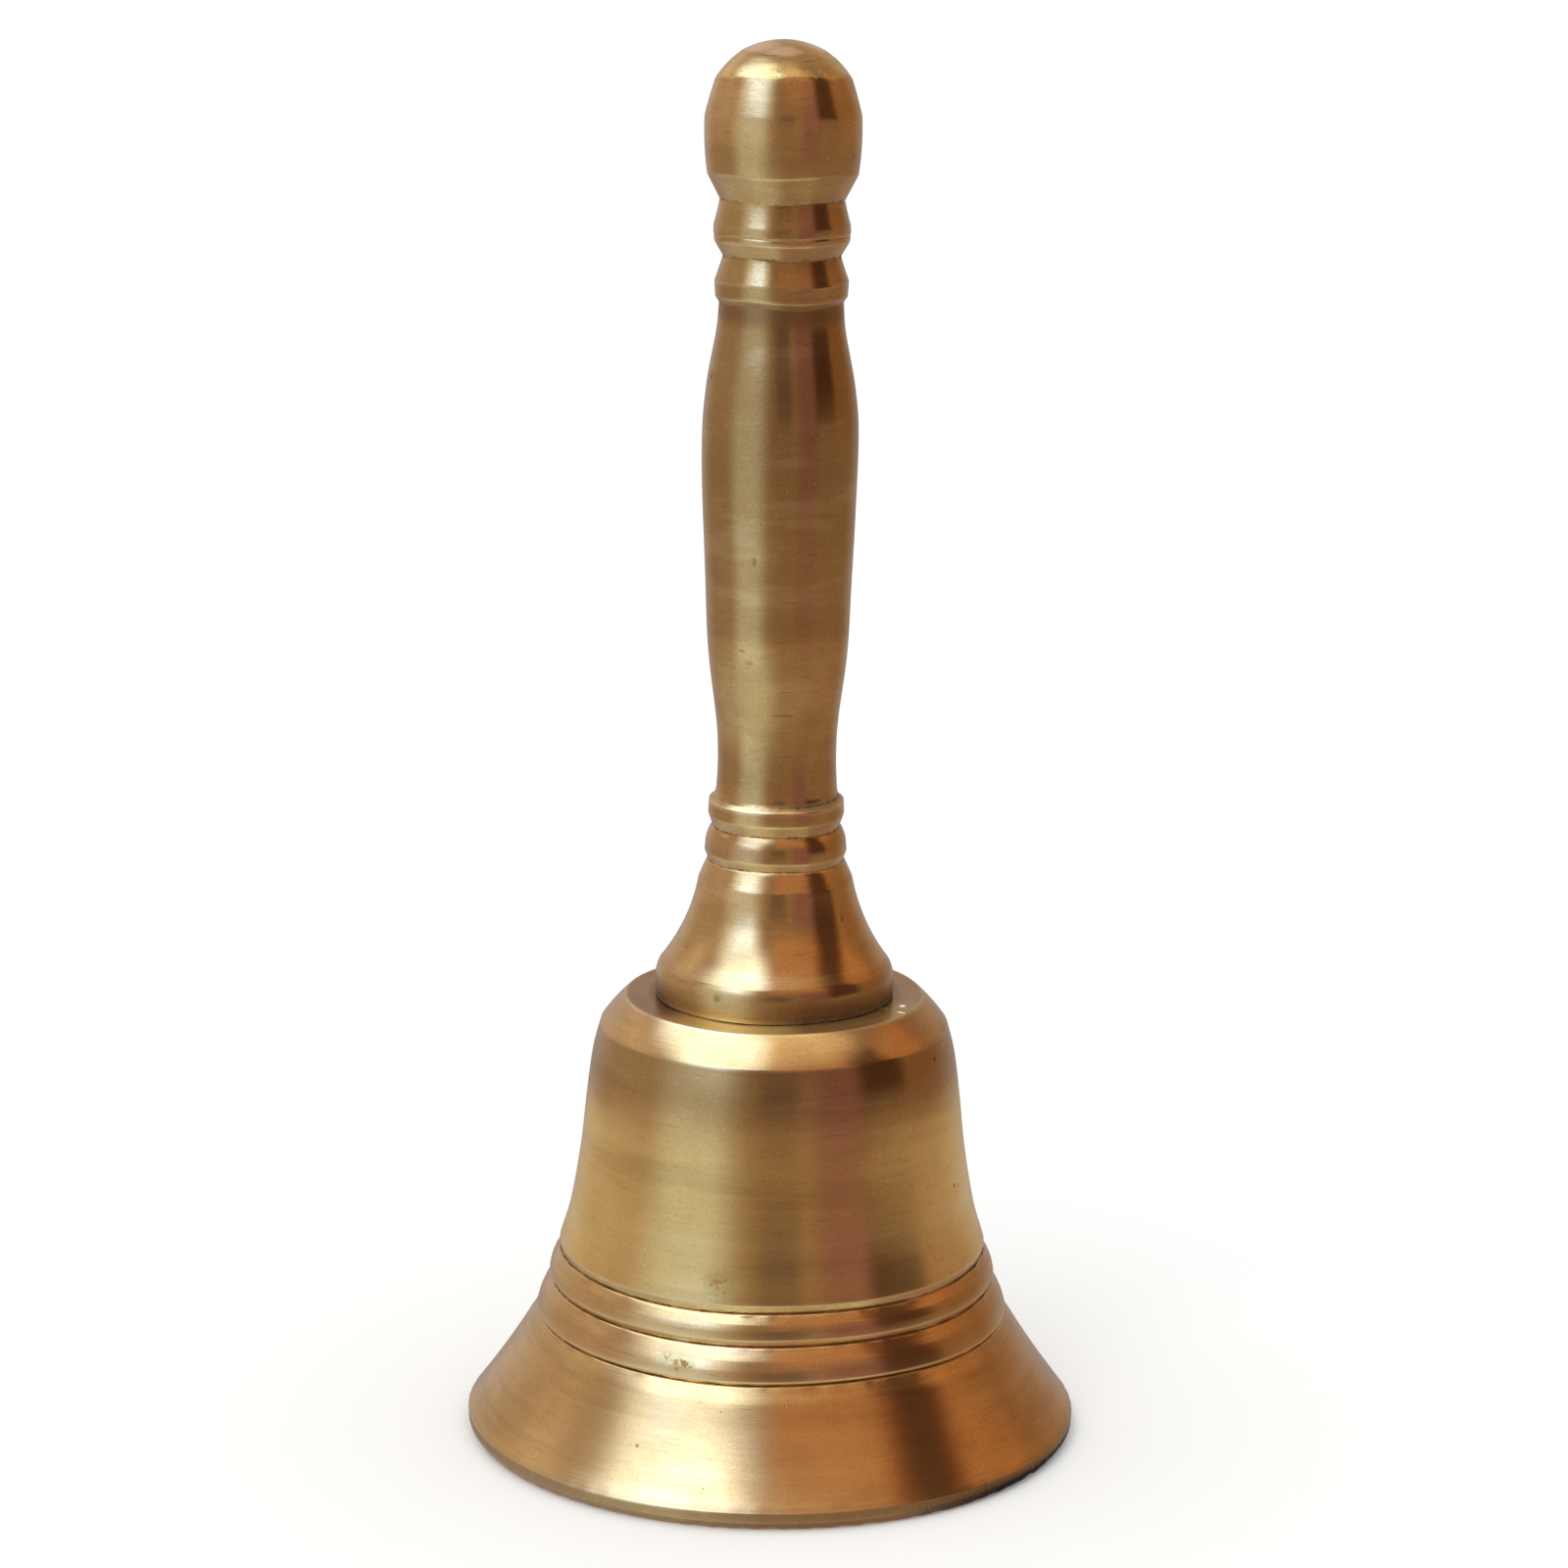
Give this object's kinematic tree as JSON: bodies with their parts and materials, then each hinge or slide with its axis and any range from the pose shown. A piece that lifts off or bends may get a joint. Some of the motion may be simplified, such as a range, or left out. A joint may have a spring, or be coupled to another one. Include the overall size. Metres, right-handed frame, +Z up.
{
  "type": "hand bell",
  "caption": "Turned brass hand bell: a beaded handle bolted to a flared cup, with a ball clapper that swings inside on a ring.",
  "frame": {"origin": "centre of the flat plane on which the cup's lip rests", "axes": "+Z up the common axis of the cup and the handle, towards the knob; the clapper swings in the XZ plane at rest"},
  "size_m": [0.066, 0.066, 0.15],
  "materials": {
    "cup_brass": "turned and buffed, satin, with grime in the grooves",
    "handle_brass": "turned and buffed, satin, with fine lathe lines",
    "fixing_brass": "dull, unpolished",
    "clapper_brass": "turned, dull",
    "wire_steel": "drawn wire"
  },
  "bodies": {
    "bell": {"bell_cup": "cup_brass", "handle": "handle_brass", "clapper_eyebolt": "fixing_brass", "crown_washer": "fixing_brass", "crown_nut": "fixing_brass"},
    "link": {"clapper_link": "wire_steel"},
    "clapper": {"clapper_rod": "wire_steel", "clapper_ball": "clapper_brass", "clapper_locknut": "fixing_brass"}
  },
  "joints": [
    {"name": "link_turn", "type": "hinge", "parent": "bell", "child": "link", "pos_m": [0, 0, 0.03455], "axis": [0, 0, 1], "range_deg": [-40, 40]},
    {"name": "clapper_swing", "type": "hinge", "parent": "link", "child": "clapper", "pos_m": [0, 0, 0.0318], "axis": [0, 1, 0], "range_deg": [-43.8, 43.8]}
  ]
}
